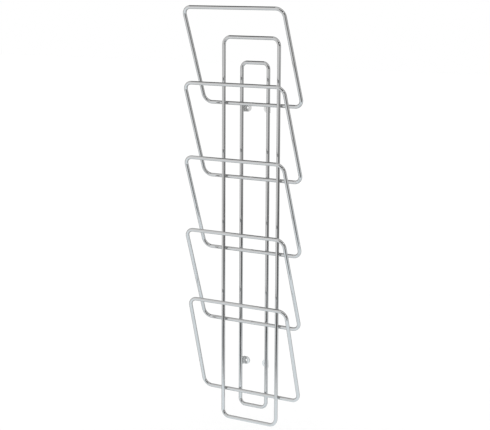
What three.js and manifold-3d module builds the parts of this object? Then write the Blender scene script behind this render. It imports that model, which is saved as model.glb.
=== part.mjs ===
// Wall-hung magazine rack of bent and welded steel wire. Millimetres, +Z up, front facing -Y.
//
// The wall is the plane y = 0. The origin is on it, midway between the four screw holes.
// From the wall outwards come four bent lugs, the inner frame, the bottom wires of five
// pocket loops, and the outer frame. Each pocket loop leans out from its bottom wire, which
// is welded where it crosses the uprights of both frames.

import * as THREE from 'three';
import { mergeVertices } from 'three/addons/utils/BufferGeometryUtils.js';
import Module from 'manifold-3d';

// ---- Driving dimensions -------------------------------------------------------------------

const WIRE_DIAMETER = 8;
const GAP = 0.3; // clearance kept between pieces that touch

// The frames are tall rounded rectangles, given by the centreline of their wire.
const OUTER_FRAME = { width: 136.5, height: 844, cornerRadius: 16 };
const INNER_FRAME = { width: 66, height: 760, cornerRadius: 13 };
const INNER_FRAME_RISE = 30.5; // inner frame's bottom wire above the outer frame's

// The pocket loops are all bent alike. Only their lean differs, lowest pocket first.
const POCKET_LOOP = { width: 243, height: 222, cornerRadius: 18 };
const POCKET_LEANS = [16.5, 20, 21, 21.5, 22.5]; // degrees from the vertical
const POCKET_PITCH = 160;
const FIRST_POCKET_RISE = 32; // lowest loop's bottom wire above the inner frame's

// Wall lugs: flat bar bent to an L, welded on edge behind the inner frame's uprights.
const WALL_STANDOFF = 12.5; // wall to the inner frame's centreline
const LUG_THICKNESS = 2.5;
const LUG_HEIGHT = 17; // its end is a half circle of this diameter
const LUG_REACH = 17; // wire centreline to the tip of the flange
const LUG_BEND_RADIUS = 1.5; // inside the bend
const LUG_INSET = 98; // lug centre to the nearer end of the inner frame
const SCREW_HOLE_DIAMETER = 5;

// Weld metal: a collar round each crossing, and a fillet beside each lug.
const COLLAR = { outerRadius: 4.3, innerRadius: 2.6, height: 2.6 };
const LUG_FILLET = { length: 12, leg: 2.6, angle: 25 };

// Fineness of the faceted surfaces.
const WIRE_SIDES = 12;
const CORNER_STEPS = 6;
const COLLAR_SIDES = 16;
const LUG_END_SEGMENTS = 9;
const HOLE_SEGMENTS = 10;

// ---- Places worked out from them ----------------------------------------------------------

const WIRE_RADIUS = WIRE_DIAMETER / 2;
const WIRE_SPACING = WIRE_DIAMETER + GAP; // centreline to centreline of wires that cross
const INNER_Y = -WALL_STANDOFF;
const POCKET_Y = INNER_Y - WIRE_SPACING;
const OUTER_Y = POCKET_Y - WIRE_SPACING;
const INNER_BOTTOM_Z = -INNER_FRAME.height / 2;
const OUTER_BOTTOM_Z = INNER_BOTTOM_Z - INNER_FRAME_RISE;
const POCKET_BOTTOMS_Z = POCKET_LEANS.map((_, i) => INNER_BOTTOM_Z + FIRST_POCKET_RISE + i * POCKET_PITCH);
const LUG_Z = INNER_FRAME.height / 2 - LUG_INSET;
const LUG_FRONT_Y = INNER_Y + WIRE_RADIUS + GAP; // front edge of the leg, just behind the wire

const wasm = await Module();
wasm.setup();

// ---- Materials ----------------------------------------------------------------------------

const chrome = () => new THREE.MeshStandardMaterial({ color: 0xd2d6d8, roughness: 0.12, metalness: 1 });
const platedSteel = () => new THREE.MeshStandardMaterial({ color: 0xb9bdbf, roughness: 0.28, metalness: 1 });
const weldMetal = () => new THREE.MeshStandardMaterial({ color: 0xa9adae, roughness: 0.35, metalness: 1 });

// ---- Wire loops ---------------------------------------------------------------------------

/**
 * Centreline of a closed wire loop: a rounded rectangle in the XZ plane, centred on x = 0,
 * standing on z = 0. It starts and ends at the middle of the bottom wire, where the real wire
 * is butt-welded. Its stations are that point and equal steps round each corner, so a straight
 * run is one step long.
 */
class LoopCentreline extends THREE.Curve {
  constructor({ width, height, cornerRadius }) {
    super();
    const start = { point: new THREE.Vector3(), tangent: new THREE.Vector3(1, 0, 0) };
    this.stations = [start];
    for (let corner = 0; corner < 4; corner++) {
      const right = corner === 0 || corner === 1;
      const high = corner === 1 || corner === 2;
      const centreX = (right ? 1 : -1) * (width / 2 - cornerRadius);
      const centreZ = high ? height - cornerRadius : cornerRadius;
      for (let step = 0; step <= CORNER_STEPS; step++) {
        const angle = (corner - 1 + step / CORNER_STEPS) * (Math.PI / 2);
        const x = centreX + cornerRadius * Math.cos(angle);
        const z = centreZ + cornerRadius * Math.sin(angle);
        this.stations.push({
          point: new THREE.Vector3(x, 0, z),
          tangent: new THREE.Vector3(-Math.sin(angle), 0, Math.cos(angle)),
        });
      }
    }
    this.stations.push(start);
    this.steps = this.stations.length - 1;
  }

  stationAt(u) {
    return this.stations[Math.round(u * this.steps)];
  }

  getPoint(t, target = new THREE.Vector3()) {
    return target.copy(this.stationAt(t).point);
  }

  getPointAt(u, target) {
    return this.getPoint(u, target);
  }

  getTangentAt(u, target = new THREE.Vector3()) {
    return target.copy(this.stationAt(u).tangent);
  }
}

function circle(radius, x = 0, y = 0) {
  return new THREE.Shape().absarc(x, y, radius, 0, 2 * Math.PI);
}

/** The wire bent round a loop. The two lids meet inside the butt weld, so they are left out. */
function wireLoopGeometry(loop) {
  const centreline = new LoopCentreline(loop);
  const tube = new THREE.ExtrudeGeometry(circle(WIRE_RADIUS), {
    steps: centreline.steps,
    curveSegments: WIRE_SIDES / 2,
    extrudePath: centreline,
  });
  const sides = tube.groups.find((group) => group.materialIndex === 1);
  const positions = tube.attributes.position.array.slice(3 * sides.start, 3 * (sides.start + sides.count));
  const ring = new THREE.BufferGeometry();
  ring.setAttribute('position', new THREE.BufferAttribute(positions, 3));
  return mergeVertices(ring);
}

// ---- Booleans -----------------------------------------------------------------------------

function toSolid(geometry) {
  const bare = geometry.clone();
  bare.deleteAttribute('normal');
  bare.deleteAttribute('uv');
  const merged = mergeVertices(bare);
  return new wasm.Manifold(new wasm.Mesh({
    numProp: 3,
    vertProperties: new Float32Array(merged.attributes.position.array),
    triVerts: new Uint32Array(merged.index.array),
  }));
}

function toGeometry(solid) {
  const mesh = solid.getMesh();
  const geometry = new THREE.BufferGeometry();
  geometry.setAttribute('position', new THREE.BufferAttribute(mesh.vertProperties, 3));
  geometry.setIndex(new THREE.BufferAttribute(mesh.triVerts, 1));
  return geometry;
}

// ---- Wall lug -----------------------------------------------------------------------------

/**
 * Left-hand lug, with x running inwards from the wire's centreline. The L of its section is cut
 * to the outline seen from the front, which has the half-round end and the screw hole.
 */
function lugGeometry() {
  const inner = LUG_BEND_RADIUS;
  const outer = LUG_BEND_RADIUS + LUG_THICKNESS;
  const section = new THREE.Shape();
  section.moveTo(0, LUG_FRONT_Y);
  section.lineTo(LUG_THICKNESS, LUG_FRONT_Y);
  section.lineTo(LUG_THICKNESS, -outer);
  section.absarc(outer, -outer, inner, Math.PI, Math.PI / 2, true);
  section.lineTo(LUG_REACH, -LUG_THICKNESS);
  section.lineTo(LUG_REACH, 0);
  section.lineTo(outer, 0);
  section.absarc(outer, -outer, outer, Math.PI / 2, Math.PI, false);
  section.closePath();
  const bar = new THREE.ExtrudeGeometry(section, {
    depth: LUG_HEIGHT,
    curveSegments: 4,
    bevelEnabled: false,
  });
  bar.translate(0, 0, -LUG_HEIGHT / 2);

  const endRadius = LUG_HEIGHT / 2;
  const holeX = LUG_REACH - endRadius;
  const outline = new THREE.Shape();
  outline.moveTo(-WIRE_RADIUS, -endRadius); // past the leg, which it leaves whole
  outline.lineTo(holeX, -endRadius);
  outline.absarc(holeX, 0, endRadius, -Math.PI / 2, Math.PI / 2, false);
  outline.lineTo(-WIRE_RADIUS, endRadius);
  outline.closePath();
  const cutterDepth = 2 * WALL_STANDOFF;
  const front = new THREE.ExtrudeGeometry(outline, {
    depth: cutterDepth,
    curveSegments: LUG_END_SEGMENTS,
    bevelEnabled: false,
  });
  const hole = new THREE.ExtrudeGeometry(circle(SCREW_HOLE_DIAMETER / 2, holeX), {
    depth: cutterDepth,
    curveSegments: HOLE_SEGMENTS,
    bevelEnabled: false,
  });
  for (const cutter of [front, hole]) {
    cutter.rotateX(Math.PI / 2);
    cutter.translate(0, cutterDepth / 2, 0);
  }
  return toGeometry(toSolid(bar).intersect(toSolid(front)).subtract(toSolid(hole)));
}

/** Weld metal in the corner between the left-hand lug's inner face and the back of the wire. */
function lugFilletGeometry() {
  const near = LUG_THICKNESS + GAP;
  const clear = WIRE_RADIUS + GAP;
  const startAngle = (LUG_FILLET.angle * Math.PI) / 180;
  const section = new THREE.Shape();
  section.absarc(0, INNER_Y, clear, startAngle, Math.acos(near / clear), false);
  section.lineTo(near, LUG_FRONT_Y + LUG_FILLET.leg);
  section.closePath();
  const fillet = new THREE.ExtrudeGeometry(section, {
    depth: LUG_FILLET.length,
    curveSegments: 4,
    bevelEnabled: false,
  });
  return fillet.translate(0, 0, -LUG_FILLET.length / 2);
}

// ---- Weld collar --------------------------------------------------------------------------

/**
 * Ring of weld metal squeezed out round the contact of two crossing wires, centred between
 * them. One wire is upright in front, the other level behind, or the other way round.
 */
function collarGeometry(uprightInFront) {
  const { outerRadius, innerRadius, height } = COLLAR;
  const profile = [
    new THREE.Vector2(innerRadius, -height / 2),
    new THREE.Vector2(outerRadius, -height / 2),
    new THREE.Vector2(outerRadius, height / 2),
    new THREE.Vector2(innerRadius, height / 2),
    new THREE.Vector2(innerRadius, -height / 2),
  ];
  const washer = new THREE.LatheGeometry(profile, COLLAR_SIDES); // its axis is already Y
  const clearRadius = (WIRE_RADIUS + GAP) / Math.cos(Math.PI / WIRE_SIDES);
  const clearance = () => new THREE.CylinderGeometry(clearRadius, clearRadius, 3 * outerRadius, WIRE_SIDES);
  const upright = clearance().rotateX(Math.PI / 2);
  const level = clearance().rotateZ(Math.PI / 2);
  const offset = WIRE_SPACING / 2;
  upright.translate(0, uprightInFront ? -offset : offset, 0);
  level.translate(0, uprightInFront ? offset : -offset, 0);
  return toGeometry(toSolid(washer).subtract(toSolid(upright)).subtract(toSolid(level)));
}

// ---- Assembly -----------------------------------------------------------------------------

const rack = new THREE.Group();

function place(name, geometry, material, x, y, z) {
  const mesh = new THREE.Mesh(geometry, material);
  mesh.name = name;
  mesh.position.set(x, y, z);
  rack.add(mesh);
  return mesh;
}

place('outer_frame', wireLoopGeometry(OUTER_FRAME), chrome(), 0, OUTER_Y, OUTER_BOTTOM_Z);
place('inner_frame', wireLoopGeometry(INNER_FRAME), chrome(), 0, INNER_Y, INNER_BOTTOM_Z);

POCKET_BOTTOMS_Z.forEach((z, i) => {
  const loop = place(`pocket_loop_${i + 1}`, wireLoopGeometry(POCKET_LOOP), chrome(), 0, POCKET_Y, z);
  loop.rotation.x = (POCKET_LEANS[i] * Math.PI) / 180;
});

const SIDES = [['left', -1], ['right', 1]];

for (const [level, z] of [['lower', -LUG_Z], ['upper', LUG_Z]]) {
  for (const [side, sign] of SIDES) {
    const x = (sign * INNER_FRAME.width) / 2;
    const turn = side === 'left' ? 0 : Math.PI; // the same pieces, half a turn about Y
    const lug = place(`wall_lug_${level}_${side}`, lugGeometry(), platedSteel(), x, 0, z);
    const fillet = place(`lug_weld_${level}_${side}`, lugFilletGeometry(), weldMetal(), x, 0, z);
    lug.rotation.y = turn;
    fillet.rotation.y = turn;
  }
}

POCKET_BOTTOMS_Z.forEach((z, i) => {
  for (const [side, sign] of SIDES) {
    const outerX = (sign * OUTER_FRAME.width) / 2;
    const innerX = (sign * INNER_FRAME.width) / 2;
    const frontY = (OUTER_Y + POCKET_Y) / 2;
    const backY = (POCKET_Y + INNER_Y) / 2;
    place(`weld_${i + 1}_outer_${side}`, collarGeometry(true), weldMetal(), outerX, frontY, z);
    place(`weld_${i + 1}_inner_${side}`, collarGeometry(false), weldMetal(), innerX, backY, z);
  }
});

export default rack;
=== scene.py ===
"""Looks of the wall magazine rack: chrome-plated wire loops, their welds and the wall lugs.

Metres, +Z up, the wall at y = 0 and the front facing -Y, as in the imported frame. Places and
overall sizes are read from the frame's boxes. Named here are the radii and thicknesses that a
box doesn't show, and the details of the finish, the studio and the camera.
"""

import math

import bmesh
import bpy
from mathutils import Matrix, Vector


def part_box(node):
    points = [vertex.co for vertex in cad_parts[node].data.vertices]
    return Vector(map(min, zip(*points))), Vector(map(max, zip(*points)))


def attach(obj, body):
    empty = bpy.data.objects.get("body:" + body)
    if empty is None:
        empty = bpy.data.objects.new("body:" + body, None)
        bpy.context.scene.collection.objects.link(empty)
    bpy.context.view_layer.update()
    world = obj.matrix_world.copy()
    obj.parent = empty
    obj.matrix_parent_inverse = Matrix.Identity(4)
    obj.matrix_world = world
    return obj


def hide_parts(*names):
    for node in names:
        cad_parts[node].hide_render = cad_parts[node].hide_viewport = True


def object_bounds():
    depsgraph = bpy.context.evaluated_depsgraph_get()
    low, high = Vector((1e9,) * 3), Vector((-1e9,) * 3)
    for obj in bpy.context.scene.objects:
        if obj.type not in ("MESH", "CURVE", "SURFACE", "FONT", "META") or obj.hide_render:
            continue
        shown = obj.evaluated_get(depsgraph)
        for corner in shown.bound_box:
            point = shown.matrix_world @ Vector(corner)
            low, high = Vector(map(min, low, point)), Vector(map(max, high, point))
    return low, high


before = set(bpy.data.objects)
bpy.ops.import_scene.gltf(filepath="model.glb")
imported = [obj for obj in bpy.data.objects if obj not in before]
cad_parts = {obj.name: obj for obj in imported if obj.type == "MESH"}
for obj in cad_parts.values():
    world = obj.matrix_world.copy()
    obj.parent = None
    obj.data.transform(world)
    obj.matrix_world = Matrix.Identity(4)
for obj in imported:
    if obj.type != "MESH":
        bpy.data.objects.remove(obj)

CAD_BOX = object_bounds()
BODY = "root"
MM = 0.001

# ---- Sizes read from the frame ----------------------------------------------------------------


def wire_depth(node):
    """Place along Y of an upright wire's centreline."""
    low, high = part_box(node)
    return (low.y + high.y) / 2


def wire_diameter(node):
    low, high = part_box(node)
    return high.y - low.y


WIRE_RADIUS = wire_diameter("outer_frame") / 2
WIRE_SPACING = (wire_depth("inner_frame") - wire_depth("outer_frame")) / 2  # where two cross

# ---- Finish details ---------------------------------------------------------------------------

FRAME_CORNER_RADII = {"outer_frame": 16 * MM, "inner_frame": 13 * MM}
POCKET_CORNER_RADIUS = 18 * MM
POCKETS = 5
SIDES = (("left", -1), ("right", 1))
LEVELS = ("lower", "upper")

WIRE_SIDES = 48
CORNER_STEPS = 22
STRAIGHT_STEP = 30 * MM  # longest step along a straight run
BEND_FLATTENING = 0.035  # share of its radius that the wire loses towards the middle of a bend
BUTT_WELD = {"half_length": 5 * MM, "steps": 12, "swell": 0.035}  # swell is a share of the radius

LUG_THICKNESS = 2.5 * MM
LUG_BEND_RADIUS = 1.5 * MM
LUG_HOLE_RADIUS = 2.5 * MM
LUG_EDGE_ROUNDING = 0.35 * MM
LUG_EDGE_STEPS = 3
LUG_SHARP_ANGLE = 50  # degrees: edges sharper than this are rounded
LUG_ROWS = 12  # mesh rows over the lug's height
LUG_BEND_STEPS = 8
LUG_RINGS = 5  # mesh rings from the flange's edge to its hole

CROSSING_SIDES = 56
CROSSING_RADIUS = 3.5 * MM
CROSSING_HOLLOW = 0.42 * MM  # how far the fillet draws in at its waist
CROSSING_CORE = 1.4 * MM  # radius of the hole hidden in the middle of the fillet
CROSSING_RINGS = (0.8, 0.6)  # shares of its radius where its hidden faces have mesh rings
CROSSING_STEPS = 8  # across the fillet's hollow face
CROSSING_OVAL = 0.05  # share of its radius by which a fillet is oval
CROSSING_WAVER = 0.035  # share of its radius by which its outline wavers
CROSSING_LOBES = 5  # lobes in that outline
LOBE_SHIFT = 2.7  # how much faster the lobes turn with the seed than the oval does
BEAD_STEPS = 60
BEAD_SECTION_STEPS = 10
BEAD_RIPPLES = 9
BEAD_RIPPLE = 0.07  # share of its size by which a bead ripples
BEAD_CROWN = 0.45 * MM
BEAD_END = 0.3  # share of a bead's half-length over which it rounds off
BEAD_TIP = 0.02  # smallest share of its size that its section shrinks to
BEAD_WIRE_ANGLE = 25  # degrees round the wire from sideways to the bead's edge
SEED_STEP = 2.4  # between the waviness of one weld and the next
EMBED = 0.04 * MM  # how far weld metal reaches into the pieces that it joins

# ---- Camera -----------------------------------------------------------------------------------

CAMERA_PLACE = (1.4794, -2.4651, 0.5540)
CAMERA_YAW = 31.50  # degrees, turned left from looking along +Y
CAMERA_PITCH = 9.97  # degrees below the horizon
CAMERA_ROLL = 0.286  # degrees
CAMERA_LENS = 98.33
SENSOR_WIDTH = 36.0

# ---- Mesh helpers -----------------------------------------------------------------------------


def make_object(name, mesh):
    obj = bpy.data.objects.new(name, mesh)
    bpy.context.scene.collection.objects.link(obj)
    return obj


def lattice_faces(rows, columns, wrap_rows=False, wrap_columns=False):
    """Quads over a lattice of points numbered row by row."""
    faces = []
    for i in range(rows if wrap_rows else rows - 1):
        for j in range(columns if wrap_columns else columns - 1):
            here, right = i, (i + 1) % rows
            near, far = j, (j + 1) % columns
            faces.append((here * columns + near, right * columns + near,
                          right * columns + far, here * columns + far))
    return faces


def smooth_mesh(name, points, faces):
    """A mesh with smooth shading whose faces point out."""
    mesh = bpy.data.meshes.new(name)
    mesh.from_pydata(points, [], faces)
    work = bmesh.new()
    work.from_mesh(mesh)
    bmesh.ops.recalc_face_normals(work, faces=work.faces)
    work.to_mesh(mesh)
    work.free()
    mesh.shade_smooth()
    return mesh


# ---- Wire loops -------------------------------------------------------------------------------


def straight_stations(start, end):
    """Places along a straight run, without its two ends."""
    count = max(1, math.ceil((end - start).length / STRAIGHT_STEP))
    return [start.lerp(end, k / count) for k in range(1, count)]


def direction_at(angle):
    """Direction in the XZ plane, by its angle above +X."""
    return Vector((math.cos(angle), 0, math.sin(angle)))


def weld_share(share):
    """1 in the middle of the butt weld, falling smoothly to 0 at its end."""
    return 0.5 + 0.5 * math.cos(math.pi * share)


def loop_stations(width, height, corner_radius):
    """(place, outward direction, bend share, weld share) round a rounded rectangle in the XZ
    plane that stands on z = 0, from the butt weld in the middle of its bottom wire."""
    stations = []

    def add(place, outward, bend=0.0, weld=0.0):
        stations.append((place, outward, bend, weld))

    half, steps = BUTT_WELD["half_length"], BUTT_WELD["steps"]
    down = Vector((0, 0, -1))
    for k in range(steps + 1):
        share = k / steps
        add(Vector((half * share, 0, 0)), down, weld=weld_share(share))
    last = stations[-1][0]
    for corner in range(4):
        right, high = corner in (0, 1), corner in (1, 2)
        centre = Vector((
            (1 if right else -1) * (width / 2 - corner_radius),
            0,
            height - corner_radius if high else corner_radius,
        ))
        outward_before = direction_at((corner - 1) * math.pi / 2)
        for place in straight_stations(last, centre + corner_radius * outward_before):
            add(place, outward_before)
        for k in range(CORNER_STEPS + 1):
            share = k / CORNER_STEPS
            outward = direction_at((corner - 1 + share) * math.pi / 2)
            add(centre + corner_radius * outward, outward, bend=math.sin(math.pi * share))
        last = stations[-1][0]
    for place in straight_stations(last, Vector((-half, 0, 0))):
        add(place, down)
    for k in range(steps):
        share = 1 - k / steps
        add(Vector((-half * share, 0, 0)), down, weld=weld_share(share))
    return stations


def wire_loop(name, width, height, corner_radius):
    """Closed round wire. Its "bar" attribute holds where each corner of a face would be on the
    straight bar before bending, and "ground" is 1 where the butt weld was ground back."""
    stations = loop_stations(width, height, corner_radius)
    back = Vector((0, 1, 0))
    points, bar, ground = [], [], []
    travelled = 0.0
    for i, (place, outward, bend, weld) in enumerate(stations):
        if i:
            travelled += (place - stations[i - 1][0]).length
        swell = 1 + BUTT_WELD["swell"] * weld
        for j in range(WIRE_SIDES):
            angle = 2 * math.pi * j / WIRE_SIDES
            x, y = WIRE_RADIUS * math.cos(angle), WIRE_RADIUS * math.sin(angle)
            outwards_by = swell * (1 - BEND_FLATTENING * bend) * x
            points.append(place + outwards_by * outward + swell * y * back)
            bar.append((x, y, travelled))
            ground.append(weld)
    faces = lattice_faces(len(stations), WIRE_SIDES, wrap_rows=True, wrap_columns=True)
    mesh = smooth_mesh(name, points, faces)
    length = travelled + (stations[0][0] - stations[-1][0]).length
    add_bar_attribute(mesh, bar, length)
    mesh.attributes.new("ground", "FLOAT", "POINT").data.foreach_set("value", ground)
    return make_object(name, mesh)


def add_bar_attribute(mesh, bar, length):
    """Face corners in the last ring carry on to the bar's full length instead of back to 0."""
    last_ring = len(bar) - WIRE_SIDES
    attribute = mesh.attributes.new("bar", "FLOAT_VECTOR", "CORNER")
    for face in mesh.polygons:
        closing = any(v >= last_ring for v in face.vertices)
        for corner in face.loop_indices:
            vertex = mesh.loops[corner].vertex_index
            x, y, along = bar[vertex]
            if closing and vertex < WIRE_SIDES:
                along = length
            attribute.data[corner].vector = (x, y, along)


def frame_loop(name):
    """An upright frame, sized from its CAD node."""
    low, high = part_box(name)
    width = high.x - low.x - 2 * WIRE_RADIUS
    height = high.z - low.z - 2 * WIRE_RADIUS
    obj = wire_loop(f"{name}_wire", width, height, FRAME_CORNER_RADII[name])
    obj.data.transform(Matrix.Translation((0, wire_depth(name), low.z + WIRE_RADIUS)))
    return obj


def pocket_loop(index):
    """A leaning loop. Its lean and height come from the run of its CAD node's box."""
    low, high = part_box(f"pocket_loop_{index}")
    forward = high.y - low.y - 2 * WIRE_RADIUS
    upward = high.z - low.z - 2 * WIRE_RADIUS
    width = high.x - low.x - 2 * WIRE_RADIUS
    height = math.hypot(forward, upward)
    obj = wire_loop(f"pocket_wire_{index}", width, height, POCKET_CORNER_RADIUS)
    lean = Matrix.Rotation(math.atan2(forward, upward), 4, "X")
    obj.data.transform(Matrix.Translation((0, high.y - WIRE_RADIUS, low.z + WIRE_RADIUS)) @ lean)
    return obj


# ---- Welds ------------------------------------------------------------------------------------


def arch(share):
    """0 at both ends of a span and 1 in its middle."""
    return 4 * share * (1 - share)


def crossing_weld(name, upright_in_front, seed):
    """Fillet of weld metal round the contact of two crossing wires, on the origin: a closed
    ring whose hollow outer face runs from the upright wire's surface to the level wire's."""
    upright_side = -1 if upright_in_front else 1

    def surface(radius, angle, upright):
        """Y of the surface of one wire that faces the other, at a place round the contact."""
        offset = radius * (math.cos(angle) if upright else math.sin(angle))
        depth = WIRE_SPACING / 2 - math.sqrt(WIRE_RADIUS ** 2 - offset ** 2)
        return (upright_side if upright else -upright_side) * (depth + EMBED)

    points = []
    for i in range(CROSSING_SIDES):
        angle = 2 * math.pi * i / CROSSING_SIDES
        oval = CROSSING_OVAL * math.sin(2 * angle + seed)
        waver = CROSSING_WAVER * math.sin(CROSSING_LOBES * angle + LOBE_SHIFT * seed)
        reach = CROSSING_RADIUS * (1 + oval + waver)
        at_upright = surface(reach, angle, True)
        at_level = surface(reach, angle, False)
        outline = []
        for k in range(CROSSING_STEPS + 1):
            share = k / CROSSING_STEPS
            radius = reach - CROSSING_HOLLOW * arch(share)
            outline.append((radius, at_upright + (at_level - at_upright) * share))
        hidden = [share * reach for share in CROSSING_RINGS] + [CROSSING_CORE]
        outline += [(radius, surface(radius, angle, False)) for radius in hidden]
        outline += [(radius, surface(radius, angle, True)) for radius in reversed(hidden)]
        points += [Vector((r * math.cos(angle), y, r * math.sin(angle))) for r, y in outline]
    columns = len(points) // CROSSING_SIDES
    faces = lattice_faces(CROSSING_SIDES, columns, wrap_rows=True, wrap_columns=True)
    return make_object(name, smooth_mesh(name, points, faces))


def bead_section(depth, leg_end):
    """Section of a lug's bead, whose last point is its root in the corner of lug and wire."""
    corner = Vector((LUG_THICKNESS, depth + math.sqrt(WIRE_RADIUS ** 2 - LUG_THICKNESS ** 2)))
    root = corner + Vector((-EMBED, -EMBED))
    on_lug = Vector((LUG_THICKNESS - EMBED, leg_end))
    hold = WIRE_RADIUS - EMBED
    wire_angle = math.radians(BEAD_WIRE_ANGLE)
    on_wire = Vector((hold * math.cos(wire_angle), depth + hold * math.sin(wire_angle)))
    section = []
    for k in range(BEAD_SECTION_STEPS + 1):
        share = k / BEAD_SECTION_STEPS
        chord = on_lug.lerp(on_wire, share)
        section.append(chord + BEAD_CROWN * arch(share) * (chord - corner).normalized())
    section.append(root.lerp(on_wire, 0.5))
    section.append(root)
    return section


def bead_size(share, seed):
    """Size of a bead's section along its length: rippled, and rounded off at both ends."""
    from_middle = abs(2 * share - 1)
    into_end = max(0.0, (from_middle - (1 - BEAD_END)) / BEAD_END)
    end_taper = math.sqrt(max(0.0, 1 - into_end ** 2))
    ripple = 1 + BEAD_RIPPLE * math.sin(2 * math.pi * BEAD_RIPPLES * share + seed)
    return max(BEAD_TIP, end_taper) * ripple


def lug_weld(name, depth, length, leg_end, seed):
    """Rippled bead in the corner between the left lug's inner face and the back of the wire.
    x runs inwards from the wire's centre, whose y is depth."""
    section = bead_section(depth, leg_end)
    root = section[-1]
    points = []
    for i in range(BEAD_STEPS + 1):
        share = i / BEAD_STEPS
        size = bead_size(share, seed)
        along = (share - 0.5) * length
        for corner in section:
            at = root + size * (corner - root)
            points.append(Vector((at.x, at.y, along)))
    columns = len(section)
    faces = lattice_faces(BEAD_STEPS + 1, columns, wrap_columns=True)
    faces.append(tuple(range(columns)))
    faces.append(tuple(BEAD_STEPS * columns + j for j in range(columns)))
    return make_object(name, smooth_mesh(name, points, faces))


# ---- Wall lugs --------------------------------------------------------------------------------


def lug_stations(leg_front):
    """(place, inward normal) along the lug's outer face, up to where the flat flange starts."""
    outer = LUG_BEND_RADIUS + LUG_THICKNESS
    stations = [(Vector((0, y)), Vector((1, 0))) for y in (leg_front, (leg_front - outer) / 2)]
    for k in range(LUG_BEND_STEPS + 1):
        angle = math.pi - (math.pi / 2) * k / LUG_BEND_STEPS
        direction = Vector((math.cos(angle), math.sin(angle)))
        stations.append((Vector((outer, -outer)) + outer * direction, -direction))
    return stations


def flange_outline(start_x, end_radius, hole_x):
    """Points round the flange seen from the front, one for each side of the hole, starting at
    the lower end of the straight edge that joins the bend."""
    quarter = LUG_ROWS // 2
    left = [(start_x, -end_radius + 2 * end_radius * k / LUG_ROWS) for k in range(LUG_ROWS)]
    top = [(start_x + (hole_x - start_x) * k / quarter, end_radius) for k in range(quarter)]
    round_end = []
    for k in range(2 * LUG_ROWS):
        angle = math.pi / 2 - math.pi * k / (2 * LUG_ROWS)
        round_end.append((hole_x + end_radius * math.cos(angle), end_radius * math.sin(angle)))
    bottom = [(hole_x + (start_x - hole_x) * k / quarter, -end_radius) for k in range(quarter)]
    return left + top + round_end + bottom


def join_rows(work, rows, closed):
    """Quads between each row of mesh points and the next."""
    for row, following in zip(rows, rows[1:]):
        for k in range(len(row) if closed else len(row) - 1):
            n = (k + 1) % len(row)
            work.faces.new((row[k], following[k], following[n], row[n]))


def plate_strip(work, stations, end_radius, depth):
    """Rows of points over the leg and the bend, depth away from the lug's outer face."""
    strip = []
    for place, normal in stations:
        at = place + depth * normal
        strip.append([
            work.verts.new((at.x, at.y, -end_radius + 2 * end_radius * k / LUG_ROWS))
            for k in range(LUG_ROWS + 1)
        ])
    return strip


def plate_rings(work, edge, hole_x, bend_row, depth):
    """Rings of points over the flange, from its edge to its hole. The first ring shares the
    bend's last row."""
    rings = [list(bend_row)]
    rings[0] += [work.verts.new((x, -depth, z)) for x, z in edge[len(bend_row):]]
    for step in range(1, LUG_RINGS + 1):
        ring = []
        for x, z in edge:
            out = Vector((x - hole_x, z))
            here = out.lerp(out.normalized() * LUG_HOLE_RADIUS, step / LUG_RINGS)
            ring.append(work.verts.new((hole_x + here.x, -depth, here.y)))
        rings.append(ring)
    return rings


def lug_plate(name, low, high):
    """Left-hand lug bent from flat bar, x inwards from the wire's centreline. low and high are
    the corners of its box. Its edges and the hole's rims are rounded."""
    end_radius = (high.z - low.z) / 2
    hole_x = high.x - low.x - end_radius
    stations = lug_stations(low.y)
    edge = flange_outline(LUG_BEND_RADIUS + LUG_THICKNESS, end_radius, hole_x)
    work = bmesh.new()
    strips, ring_sets = [], []
    for depth in (0.0, LUG_THICKNESS):
        strips.append(plate_strip(work, stations, end_radius, depth))
        ring_sets.append(plate_rings(work, edge, hole_x, strips[-1][-1], depth))
    for strip, rings in zip(strips, ring_sets):
        join_rows(work, strip, False)
        join_rows(work, rings, True)
    join_rows(work, [rings[-1] for rings in ring_sets], True)
    join_rows(work, [strip[0] for strip in strips], False)
    for end in (0, -1):
        join_rows(work, [[row[end] for row in strip] for strip in strips], False)
    join_rows(work, [rings[0][LUG_ROWS:] + [rings[0][0]] for rings in ring_sets], False)

    bmesh.ops.recalc_face_normals(work, faces=work.faces)
    limit = math.radians(LUG_SHARP_ANGLE)
    sharp = [e for e in work.edges if len(e.link_faces) == 2 and e.calc_face_angle() > limit]
    bmesh.ops.bevel(
        work,
        geom=sharp,
        offset=LUG_EDGE_ROUNDING,
        segments=LUG_EDGE_STEPS,
        profile=0.5,
        affect="EDGES",
        clamp_overlap=True,
    )
    mesh = bpy.data.meshes.new(name)
    work.to_mesh(mesh)
    work.free()
    mesh.shade_smooth()
    return make_object(name, mesh)


# ---- Materials --------------------------------------------------------------------------------

# Colours of the plating from its dullest marks to its brightest parts, as (place on a noise
# ramp, colour), and roughness over the same noise.
CHROME_COLOURS = ((0.30, (0.585, 0.588, 0.588)), (0.70, (0.630, 0.632, 0.632)))
CHROME_ROUGHNESS = (0.035, 0.09)
GROUND_ROUGHNESS = 0.14  # added where the butt weld was ground back
LUG_COLOURS = ((0.32, (0.74, 0.745, 0.74)), (0.72, (0.82, 0.823, 0.82)))
LUG_ROUGHNESS = (0.22, 0.34)
WELD_COLOURS = (
    (0.32, (0.42, 0.425, 0.425)),
    (0.50, (0.57, 0.58, 0.582)),
    (0.75, (0.62, 0.63, 0.632)),
)
WELD_ROUGHNESS = (0.36, 0.18)  # smoother away from the pits


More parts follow.
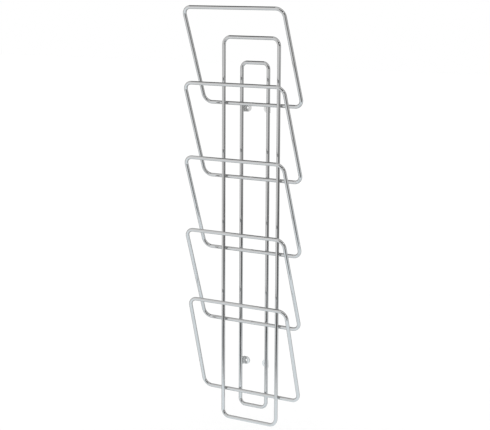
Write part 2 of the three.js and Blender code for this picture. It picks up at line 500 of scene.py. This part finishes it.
class Nodes:
    """Short calls for the nodes that the materials and the world share."""

    def __init__(self, tree):
        self.tree = tree

    def add(self, kind, **settings):
        node = self.tree.nodes.new(kind)
        for key, value in settings.items():
            setattr(node, key, value)
        return node

    def link(self, source, target):
        self.tree.links.new(source, target)

    def feed(self, socket, value):
        """Set the socket where value is a number, or link the output that it is."""
        if isinstance(value, (int, float)):
            socket.default_value = value
        else:
            self.link(value, socket)

    def noise(self, coordinates, scale, detail, roughness):
        node = self.add("ShaderNodeTexNoise")
        node.inputs["Scale"].default_value = scale
        node.inputs["Detail"].default_value = detail
        node.inputs["Roughness"].default_value = roughness
        self.link(coordinates, node.inputs["Vector"])
        return node.outputs["Fac"]

    def stretch(self, coordinates, scale):
        node = self.add("ShaderNodeVectorMath", operation="MULTIPLY")
        self.link(coordinates, node.inputs[0])
        node.inputs[1].default_value = scale
        return node.outputs["Vector"]

    def spread(self, value, source, target, interpolation="LINEAR"):
        """The source range, as (low, high), mapped to the target range and held at its ends."""
        node = self.add("ShaderNodeMapRange", interpolation_type=interpolation)
        self.link(value, node.inputs["Value"])
        for prefix, span in (("From", source), ("To", target)):
            for suffix, number in zip(("Min", "Max"), span):
                node.inputs[f"{prefix} {suffix}"].default_value = number
        return node.outputs["Result"]

    def math(self, operation, *values):
        node = self.add("ShaderNodeMath", operation=operation)
        for socket, value in zip(node.inputs, values):
            self.feed(socket, value)
        return node.outputs["Value"]

    def colours(self, value, stops):
        node = self.add("ShaderNodeValToRGB")
        ramp = node.color_ramp
        while len(ramp.elements) < len(stops):
            ramp.elements.new(0.5)
        for element, (position, colour) in zip(ramp.elements, stops):
            element.position = position
            element.color = (*colour, 1)
        self.link(value, node.inputs["Fac"])
        return node.outputs["Color"]

    def bump(self, height, strength, distance, before=None):
        """Normals of a height map, on top of those of the bump that comes before it."""
        node = self.add("ShaderNodeBump")
        node.inputs["Strength"].default_value = strength
        node.inputs["Distance"].default_value = distance
        self.link(height, node.inputs["Height"])
        if before is not None:
            self.link(before, node.inputs["Normal"])
        return node.outputs["Normal"]


def metal(name, metallic):
    """A plated-metal material to be filled in: the material, its nodes and its shader."""
    material = bpy.data.materials.new(name)
    material.use_nodes = True
    nodes = Nodes(material.node_tree)
    shader = material.node_tree.nodes["Principled BSDF"]
    shader.inputs["Metallic"].default_value = metallic
    return material, nodes, shader


def chrome_wire_material():
    """Bright chrome over drawn wire: faint lengthwise draw lines, slow waves in the plating,
    a few dull handling marks, and a duller band where the butt weld was ground back."""
    material, nodes, shader = metal("chrome_wire", metallic=1.0)
    bar = nodes.add("ShaderNodeAttribute", attribute_name="bar").outputs["Vector"]
    ground = nodes.add("ShaderNodeAttribute", attribute_name="ground").outputs["Fac"]
    draw_lines = nodes.noise(nodes.stretch(bar, (1, 1, 0.012)), scale=2600, detail=2, roughness=0.6)
    waves = nodes.noise(nodes.stretch(bar, (1, 1, 0.25)), scale=190, detail=2, roughness=0.5)
    smears = nodes.noise(nodes.stretch(bar, (1, 1, 0.18)), scale=120, detail=4, roughness=0.6)
    mostly_smears = nodes.math("MULTIPLY", smears, 0.7)
    some_lines = nodes.math("MULTIPLY", draw_lines, 0.3)
    tone = nodes.math("ADD", mostly_smears, some_lines)
    nodes.link(nodes.colours(tone, CHROME_COLOURS), shader.inputs["Base Color"])
    polish = nodes.spread(smears, (0.35, 0.72), CHROME_ROUGHNESS)
    ground_dulling = nodes.math("MULTIPLY", ground, GROUND_ROUGHNESS)
    nodes.link(nodes.math("ADD", polish, ground_dulling), shader.inputs["Roughness"])
    fine = nodes.bump(draw_lines, strength=0.18, distance=0.02 * MM)
    nodes.link(nodes.bump(waves, 0.35, 0.04 * MM, before=fine), shader.inputs["Normal"])
    return material


def plated_lug_material():
    """Thinner plating over rolled bar, which shows its grain, with duller blotches."""
    material, nodes, shader = metal("plated_lug", metallic=0.9)
    place = nodes.add("ShaderNodeTexCoord").outputs["Object"]
    grain = nodes.noise(nodes.stretch(place, (1, 1, 0.08)), scale=2400, detail=3, roughness=0.6)
    blotches = nodes.noise(place, scale=230, detail=4, roughness=0.6)
    nodes.link(nodes.colours(blotches, LUG_COLOURS), shader.inputs["Base Color"])
    nodes.link(nodes.spread(blotches, (0.3, 0.75), LUG_ROUGHNESS), shader.inputs["Roughness"])
    fine = nodes.bump(grain, strength=0.30, distance=0.03 * MM)
    nodes.link(nodes.bump(blotches, 0.35, 0.06 * MM, before=fine), shader.inputs["Normal"])
    return material


def plated_weld_material():
    """Chrome over weld metal: pitted, darker in its pits and rougher than the wire."""
    material, nodes, shader = metal("plated_weld", metallic=1.0)
    place = nodes.add("ShaderNodeTexCoord").outputs["Object"]
    pits = nodes.noise(place, scale=1500, detail=4, roughness=0.65)
    lumps = nodes.noise(place, scale=420, detail=3, roughness=0.55)
    nodes.link(nodes.colours(pits, WELD_COLOURS), shader.inputs["Base Color"])
    nodes.link(nodes.spread(pits, (0.3, 0.7), WELD_ROUGHNESS), shader.inputs["Roughness"])
    fine = nodes.bump(pits, strength=0.45, distance=0.08 * MM)
    nodes.link(nodes.bump(lumps, 0.5, 0.15 * MM, before=fine), shader.inputs["Normal"])
    return material


# ---- Studio -----------------------------------------------------------------------------------

GROUND_DROP = 0.10  # floor below the rack's lowest point
FLOOR_HALF_SIZE = 12.0
FLOOR_TONE = 0.8
SKY_GLOW = 1.02 / FLOOR_TONE  # so that the floor comes out white
SHEET_FRONT = 0.56  # the lit sheet's front edge, from the wall towards the camera
SHEET_BACK = 0.05  # its back edge, beyond the wall's plane
SHEET_HALF_WIDTH = 2.5
SHEET_GLOW = (1.01, 1.08, 1.12)
FLAG_HEIGHT = 0.70  # dark flag above the rack's highest point
FLAG_X = (-0.75, -0.25)  # its run to the rack's left
FLAG_Y = (-0.62, 0.75)  # and from front to back
FLAG_TONE = 0.12

# What the plating sees all round, painted one over another on a grey room. Each has azimuths
# from -Y towards +X and elevations, both as (from, to, softness) in degrees, and a radiance.
ROOM_TONE = 0.84
ROOM_WINDOWS = (
    ("bright side on the left", (-200, -5, 20), (-90, 45, 5), 0.95),
    ("bright side on the right", (110, 200, 15), (-90, 45, 5), 0.85),
    ("dark floor in front", (22, 92, 22), (-75, -26, 5), 0.20),
    ("dim room to the right", (42, 115, 22), (-9, 30, 3), 0.58),
    ("its darker lower part", (26, 116, 18), (-11, -5, 3), 0.22),
    ("dark room to the right", (22, 118, 18), (-14.6, -9, 1.2), 0.08),
    ("its lower end", (-24, 52, 8), (-16.8, -14.0, 0.9), 0.03),
    ("dark room round the camera", (4, 100, 8), (3, 36, 5), 0.0),
    ("lamp beside it", (62, 78, 2), (16, 25, 2), 4.0),
    ("dim wall behind, left", (-200, -84, 12), (-90, 90, 5), 0.50),
    ("dim wall behind, right", (134, 200, 12), (-90, 90, 5), 0.45),
    ("low window behind", (-166, -128, 4), (-25, -2, 2), 1.35),
    ("dark corner behind", (-118, -98, 4), (-25, -2, 2), 0.10),
)


def stage_plane(name, x_range, y_range, z, material):
    x0, x1 = x_range
    y0, y1 = y_range
    mesh = bpy.data.meshes.new(name)
    mesh.from_pydata([(x0, y0, z), (x1, y0, z), (x1, y1, z), (x0, y1, z)], [], [(0, 1, 2, 3)])
    mesh.materials.append(material)
    obj = make_object(name, mesh)
    return obj


def surface_material(name, kind, colour, output_name):
    """A material of one plain shader."""
    material = bpy.data.materials.new(name)
    material.use_nodes = True
    nodes = Nodes(material.node_tree)
    material.node_tree.nodes.clear()
    shader = nodes.add(kind)
    shader.inputs["Color"].default_value = (*colour, 1)
    output = nodes.add("ShaderNodeOutputMaterial")
    nodes.link(shader.outputs[output_name], output.inputs["Surface"])
    return material


def glow_material(name, radiance):
    return surface_material(name, "ShaderNodeEmission", radiance, "Emission")


def only_in_reflections(obj):
    for ray in ("visible_camera", "visible_diffuse", "visible_shadow", "visible_transmission"):
        setattr(obj, ray, False)


def make_floor():
    """A wide pale floor. The plating sees a smaller lit sheet just over it instead, square to
    the camera, and a dark flag overhead."""
    ground = CAD_BOX[0].z - GROUND_DROP
    wide = (-FLOOR_HALF_SIZE, FLOOR_HALF_SIZE)
    pale = surface_material("pale_floor", "ShaderNodeBsdfDiffuse", (FLOOR_TONE,) * 3, "BSDF")
    floor = stage_plane("pale_floor", wide, wide, ground, pale)
    floor.visible_glossy = False
    sheet = stage_plane(
        "lit_sheet",
        (-SHEET_HALF_WIDTH, SHEET_HALF_WIDTH),
        (-SHEET_FRONT, SHEET_BACK),
        ground + MM,
        glow_material("lit_sheet", SHEET_GLOW),
    )
    sheet.data.transform(Matrix.Rotation(math.radians(CAMERA_YAW), 4, "Z"))
    only_in_reflections(sheet)
    dark = glow_material("dark_flag", (FLAG_TONE,) * 3)
    flag = stage_plane("overhead_flag", FLAG_X, FLAG_Y, CAD_BOX[1].z + FLAG_HEIGHT, dark)
    only_in_reflections(flag)


def window(nodes, value, span):
    """1 where value is inside span, 0 outside, with soft edges."""
    start, end, softness = span
    edges = []
    for place, shares in ((start, (0, 1)), (end, (1, 0))):
        soft_edge = (math.radians(place - softness), math.radians(place + softness))
        edges.append(nodes.spread(value, soft_edge, shares, "SMOOTHSTEP"))
    return nodes.math("MULTIPLY", *edges)


def painted_room(nodes):
    """Radiance of the room round the rack, by direction."""
    split = nodes.add("ShaderNodeSeparateXYZ")
    nodes.link(nodes.add("ShaderNodeTexCoord").outputs["Generated"], split.inputs["Vector"])
    x, y, z = (split.outputs[axis] for axis in "XYZ")
    azimuth = nodes.math("ARCTAN2", x, nodes.math("MULTIPLY", y, -1.0))
    elevation = nodes.math("ARCSINE", z)
    radiance = ROOM_TONE
    for _, azimuths, elevations, tone in ROOM_WINDOWS:
        across = window(nodes, azimuth, azimuths)
        upwards = window(nodes, elevation, elevations)
        mix = nodes.add("ShaderNodeMix", data_type="FLOAT")
        nodes.link(nodes.math("MULTIPLY", across, upwards), mix.inputs["Factor"])
        nodes.feed(mix.inputs["A"], radiance)
        nodes.feed(mix.inputs["B"], tone)
        radiance = mix.outputs["Result"]
    return radiance


def background(nodes, strength):
    node = nodes.add("ShaderNodeBackground")
    node.inputs["Color"].default_value = (1, 1, 1, 1)
    nodes.feed(node.inputs["Strength"], strength)
    return node.outputs["Background"]


def choose(nodes, switch, when_off, when_on):
    """One shader or the other, by a switch that is 0 or 1."""
    mix = nodes.add("ShaderNodeMixShader")
    nodes.link(switch, mix.inputs["Fac"])
    nodes.link(when_off, mix.inputs[1])
    nodes.link(when_on, mix.inputs[2])
    return mix.outputs["Shader"]


def make_world():
    """White all round for the camera and the floor. The plating sees the painted room."""
    world = bpy.data.worlds.new("studio")
    bpy.context.scene.world = world
    world.use_nodes = True
    world.cycles.sampling_method = "NONE"
    nodes = Nodes(world.node_tree)
    world.node_tree.nodes.clear()
    ray = nodes.add("ShaderNodeLightPath")
    sky = background(nodes, SKY_GLOW)
    room = background(nodes, painted_room(nodes))
    lit = choose(nodes, ray.outputs["Is Glossy Ray"], sky, room)
    seen = choose(nodes, ray.outputs["Is Camera Ray"], lit, background(nodes, 1.0))
    nodes.link(seen, nodes.add("ShaderNodeOutputWorld").inputs["Surface"])


def make_camera():
    camera = bpy.data.cameras.new("camera")
    camera.sensor_width = SENSOR_WIDTH
    camera.lens = CAMERA_LENS
    obj = make_object("camera", camera)
    turn = Matrix.Rotation(math.radians(CAMERA_YAW), 4, "Z")
    tilt = Matrix.Rotation(math.radians(90 - CAMERA_PITCH), 4, "X")
    roll = Matrix.Rotation(math.radians(CAMERA_ROLL), 4, "Z")
    obj.matrix_world = Matrix.Translation(CAMERA_PLACE) @ turn @ tilt @ roll
    bpy.context.scene.camera = obj


# ---- Assembly ---------------------------------------------------------------------------------


def dress(obj, material, node):
    obj.data.materials.append(material)
    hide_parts(node)
    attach(obj, BODY)


def centre_of(node):
    low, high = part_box(node)
    return (low + high) / 2


def make_wires():
    material = chrome_wire_material()
    for name in FRAME_CORNER_RADII:
        dress(frame_loop(name), material, name)
    for index in range(1, POCKETS + 1):
        dress(pocket_loop(index), material, f"pocket_loop_{index}")


def make_crossing_welds(material):
    seed = 0.0
    for index in range(1, POCKETS + 1):
        for upright in ("outer", "inner"):
            for side, _ in SIDES:
                node = f"weld_{index}_{upright}_{side}"
                obj = crossing_weld(f"fillet_{index}_{upright}_{side}", upright == "outer", seed)
                obj.data.transform(Matrix.Translation(centre_of(node)))
                dress(obj, material, node)
                seed += SEED_STEP


def make_lugs(weld_material):
    """Each lug and its bead are made left-handed on the wire's centreline, then placed."""
    material = plated_lug_material()
    depth = wire_depth("inner_frame")
    frame_low, frame_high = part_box("inner_frame")
    wire_x = (frame_high.x - frame_low.x) / 2 - WIRE_RADIUS
    seed = 0.0
    for level in LEVELS:
        low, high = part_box(f"wall_lug_{level}_left")
        bead_low, bead_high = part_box(f"lug_weld_{level}_left")
        bead_length = bead_high.z - bead_low.z
        for side, sign in SIDES:
            place = Matrix.Translation((sign * wire_x, 0, (low.z + high.z) / 2))
            if side == "right":
                place = place @ Matrix.Rotation(math.pi, 4, "Y")
            plate = lug_plate(f"lug_plate_{level}_{side}", low, high)
            plate.data.transform(place)
            dress(plate, material, f"wall_lug_{level}_{side}")
            bead = lug_weld(f"lug_bead_{level}_{side}", depth, bead_length, bead_high.y, seed)
            bead.data.transform(place)
            dress(bead, weld_material, f"lug_weld_{level}_{side}")
            seed += SEED_STEP


make_camera()
make_world()
make_floor()
make_wires()
weld_metal = plated_weld_material()
make_crossing_welds(weld_metal)
make_lugs(weld_metal)

bpy.context.scene.view_settings.view_transform = "Standard"
